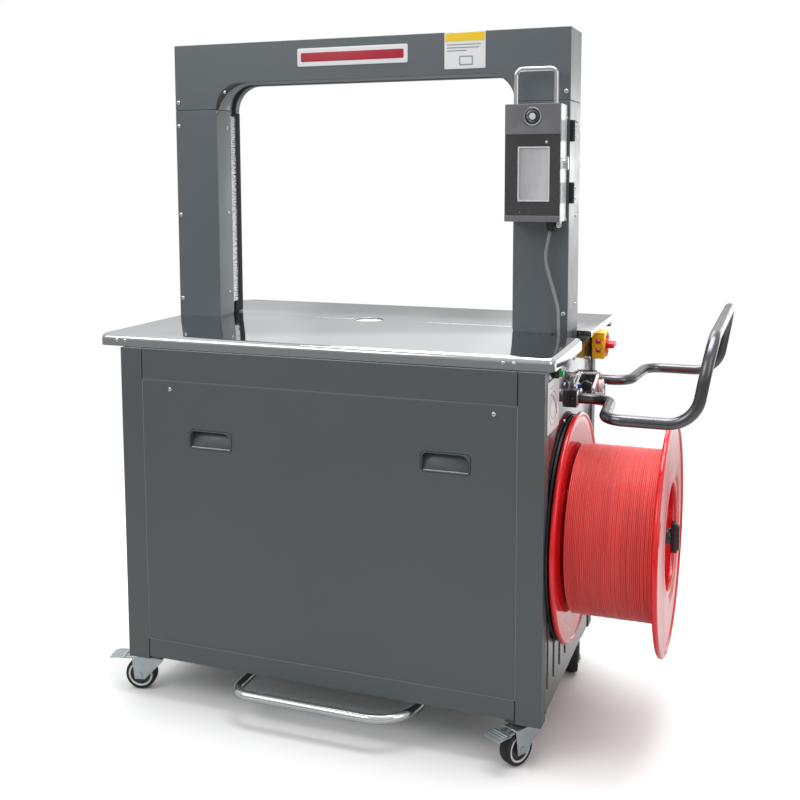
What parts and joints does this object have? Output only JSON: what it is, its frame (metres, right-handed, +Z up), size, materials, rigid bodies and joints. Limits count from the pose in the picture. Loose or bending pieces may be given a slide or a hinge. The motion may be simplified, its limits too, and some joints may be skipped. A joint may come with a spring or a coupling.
{
  "type": "semi automatic strapping machine",
  "caption": "Arch strapping machine on casters: grey cabinet with stainless table, strap arch, swing-out control box, red strap reel with bent tube handle, foot bar and main switch.",
  "frame": {"origin": "on the floor under the middle of the whole footprint, from the table's left edge to the push handle and from the foot bar to the table's rear edge", "axes": "+X to the operator's right, where the reel is; +Y from the operator's side to the back; +Z up"},
  "size_m": [1.3948, 0.804, 1.57],
  "materials": {
    "cabinet_paint": "fine-textured grey powder coat",
    "arch_paint": "satin grey powder coat",
    "stainless_table": "polished stainless sheet",
    "chrome_tube": "polished chrome plate",
    "zinc": "bright zinc plate",
    "tyre": "black rubber tread on a grey hub",
    "black_plastic": "matt black moulding",
    "white_nylon": "white nylon",
    "light_case": "light grey enamel",
    "cable": "grey PVC sheath",
    "panel_grey": "dark grey panel film",
    "screen": "glossy display window",
    "reel_red": "glossy red moulding",
    "strap_red": "embossed red polypropylene strap",
    "switch_yellow": "yellow moulding",
    "switch_red": "red moulding",
    "green_button": "green moulding",
    "clamp_paint": "dark grey enamel",
    "machine_steel": "machined steel",
    "motor_alloy": "cast aluminium",
    "feed_rubber": "grip rubber"
  },
  "bodies": {
    "machine": {"cabinet_frame": "cabinet_paint", "front_panel": "cabinet_paint", "panel_pull_left": "cabinet_paint", "panel_pull_right": "cabinet_paint", "rear_panel": "cabinet_paint", "left_panel": "cabinet_paint", "right_panel": "cabinet_paint", "arch_left_column": "arch_paint", "arch_right_column": "arch_paint", "arch_top_beam": "arch_paint", "strap_track": "black_plastic", "brush_strip": "white_nylon", "box_hinge_upper": "black_plastic", "box_hinge_lower": "black_plastic", "control_cable": "cable", "switch_housing": "switch_yellow", "button_bezel": "black_plastic", "guide_bracket": "chrome_tube", "push_handle": "chrome_tube", "handle_clamp_front": "clamp_paint", "handle_clamp_rear": "clamp_paint", "reel_shaft": "machine_steel", "brake_disc": "black_plastic", "foot_bar_pivot": "machine_steel", "head_frame": "machine_steel", "drive_motor": "motor_alloy", "feed_motor": "motor_alloy", "electric_box": "light_case"},
    "front_table": {"front_table": "stainless_table"},
    "rear_table": {"rear_table": "stainless_table"},
    "control_box": {"control_box_shell": "light_case", "control_panel": "panel_grey", "display_screen": "screen", "box_handle": "chrome_tube"},
    "start_button": {"start_button": "chrome_tube"},
    "switch_knob": {"switch_knob": "switch_red"},
    "green_button": {"green_button": "green_button"},
    "guide_roller": {"guide_roller": "white_nylon"},
    "guide_knob": {"guide_knob": "black_plastic"},
    "reel": {"reel_inner_flange": "reel_red", "reel_core": "reel_red", "reel_outer_flange": "reel_red", "strap_coil": "strap_red"},
    "reel_knob": {"reel_knob": "clamp_paint"},
    "foot_bar": {"foot_bar": "chrome_tube"},
    "feed_wheel": {"feed_wheel": "feed_rubber"},
    "pinch_roller": {"pinch_roller": "motor_alloy"},
    "cam_shaft": {"cam_shaft": "machine_steel"},
    "seal_press": {"seal_press": "machine_steel"},
    "slide_plate": {"slide_plate": "machine_steel"},
    "caster_front_left": {"caster_fork_front_left": "zinc"},
    "wheel_front_left": {"caster_wheel_front_left": "tyre"},
    "caster_front_right": {"caster_fork_front_right": "zinc"},
    "wheel_front_right": {"caster_wheel_front_right": "tyre"},
    "caster_rear_left": {"caster_fork_rear_left": "zinc"},
    "wheel_rear_left": {"caster_wheel_rear_left": "tyre"},
    "caster_rear_right": {"caster_fork_rear_right": "zinc"},
    "wheel_rear_right": {"caster_wheel_rear_right": "tyre"},
    "brake_front_left": {"brake_pedal_front_left": "zinc"},
    "brake_front_right": {"brake_pedal_front_right": "zinc"}
  },
  "joints": [
    {"name": "front_table_lift", "type": "hinge", "parent": "machine", "child": "front_table", "pos_m": [-0.1295, -0.331, 0.842], "axis": [1, 0, 0], "range_deg": [0, 80]},
    {"name": "rear_table_lift", "type": "hinge", "parent": "machine", "child": "rear_table", "pos_m": [-0.1295, 0.402, 0.854], "axis": [-1, 0, 0], "range_deg": [0, 80]},
    {"name": "control_box_swing", "type": "hinge", "parent": "machine", "child": "control_box", "pos_m": [0.3485, 0.0215, 1.26], "axis": [0, 0, 1], "range_deg": [0, 110]},
    {"name": "start_press", "type": "slide", "parent": "control_box", "child": "start_button", "axis": [0, 1, 0], "range_m": [0, 0.004], "stiffness_N_per_m": 150},
    {"name": "main_switch_turn", "type": "hinge", "parent": "machine", "child": "switch_knob", "pos_m": [0.396, 0.207, 0.8205], "axis": [1, 0, 0], "range_deg": [0, 90]},
    {"name": "green_button_press", "type": "slide", "parent": "machine", "child": "green_button", "axis": [-1, 0, 0], "range_m": [0, 0.003], "stiffness_N_per_m": 150},
    {"name": "guide_roller_spin", "type": "hinge", "parent": "machine", "child": "guide_roller", "pos_m": [0.4225, -0.013, 0.759], "axis": [1, 0, 0], "continuous": true},
    {"name": "guide_knob_turn", "type": "hinge", "parent": "machine", "child": "guide_knob", "pos_m": [0.3995, -0.043, 0.763], "axis": [0, 1, 0], "continuous": true},
    {"name": "reel_spin", "type": "hinge", "parent": "machine", "child": "reel", "pos_m": [0.489, -0.081, 0.448], "axis": [1, 0, 0], "continuous": true},
    {"name": "reel_knob_turn", "type": "hinge", "parent": "reel", "child": "reel_knob", "pos_m": [0.5855, -0.081, 0.448], "axis": [1, 0, 0], "continuous": true},
    {"name": "foot_bar_press", "type": "hinge", "parent": "machine", "child": "foot_bar", "pos_m": [-0.1295, 0.009, 0.085], "axis": [1, 0, 0], "range_deg": [0, 4], "stiffness_Nm_per_rad": 60, "springref_deg": -2.86},
    {"name": "cam_turn", "type": "hinge", "parent": "machine", "child": "cam_shaft", "pos_m": [-0.1895, 0.113, 0.69], "axis": [0, 1, 0], "continuous": true},
    {"name": "feed_wheel_turn", "type": "hinge", "parent": "machine", "child": "feed_wheel", "pos_m": [-0.0995, 0.113, 0.77], "axis": [0, 1, 0], "continuous": true},
    {"name": "pinch_roller_turn", "type": "hinge", "parent": "machine", "child": "pinch_roller", "pos_m": [-0.0995, 0.113, 0.8144], "axis": [0, 1, 0], "continuous": true},
    {"name": "press_lift", "type": "slide", "parent": "machine", "child": "seal_press", "axis": [0, 0, 1], "range_m": [0, 0.006]},
    {"name": "slide_plate_retract", "type": "slide", "parent": "machine", "child": "slide_plate", "axis": [0, -1, 0], "range_m": [0, 0.018]},
    {"name": "swivel_front_left", "type": "hinge", "parent": "machine", "child": "caster_front_left", "pos_m": [-0.5895, -0.295, 0.0907], "axis": [0, 0, 1], "continuous": true},
    {"name": "roll_front_left", "type": "hinge", "parent": "caster_front_left", "child": "wheel_front_left", "pos_m": [-0.62263, -0.30265, 0.0375], "axis": [0.225, -0.9744, 0], "continuous": true},
    {"name": "swivel_front_right", "type": "hinge", "parent": "machine", "child": "caster_front_right", "pos_m": [0.3305, -0.295, 0.0907], "axis": [0, 0, 1], "continuous": true},
    {"name": "roll_front_right", "type": "hinge", "parent": "caster_front_right", "child": "wheel_front_right", "pos_m": [0.3135, -0.32444, 0.0375], "axis": [0.866, -0.5, 0], "continuous": true},
    {"name": "swivel_rear_left", "type": "hinge", "parent": "machine", "child": "caster_rear_left", "pos_m": [-0.5895, 0.172, 0.0907], "axis": [0, 0, 1], "continuous": true},
    {"name": "roll_rear_left", "type": "hinge", "parent": "caster_rear_left", "child": "wheel_rear_left", "pos_m": [-0.62145, 0.16037, 0.0375], "axis": [0.342, -0.9397, 0], "continuous": true},
    {"name": "swivel_rear_right", "type": "hinge", "parent": "machine", "child": "caster_rear_right", "pos_m": [0.3305, 0.172, 0.0907], "axis": [0, 0, 1], "continuous": true},
    {"name": "roll_rear_right", "type": "hinge", "parent": "caster_rear_right", "child": "wheel_rear_right", "pos_m": [0.3393, 0.13916, 0.0375], "axis": [0.9659, 0.2588, 0], "continuous": true},
    {"name": "brake_front_left_press", "type": "hinge", "parent": "caster_front_left", "child": "brake_front_left", "pos_m": [-0.64212, -0.30715, 0.0783], "axis": [0.225, -0.9744, 0], "range_deg": [0, 8], "stiffness_Nm_per_rad": 2},
    {"name": "brake_front_right_press", "type": "hinge", "parent": "caster_front_right", "child": "brake_front_right", "pos_m": [0.3035, -0.34176, 0.0783], "axis": [0.866, -0.5, 0], "range_deg": [0, 8], "stiffness_Nm_per_rad": 2}
  ],
  "couplings": [
    {"joint": "pinch_roller_turn", "follows": "feed_wheel_turn", "ratio": -1.75}
  ]
}
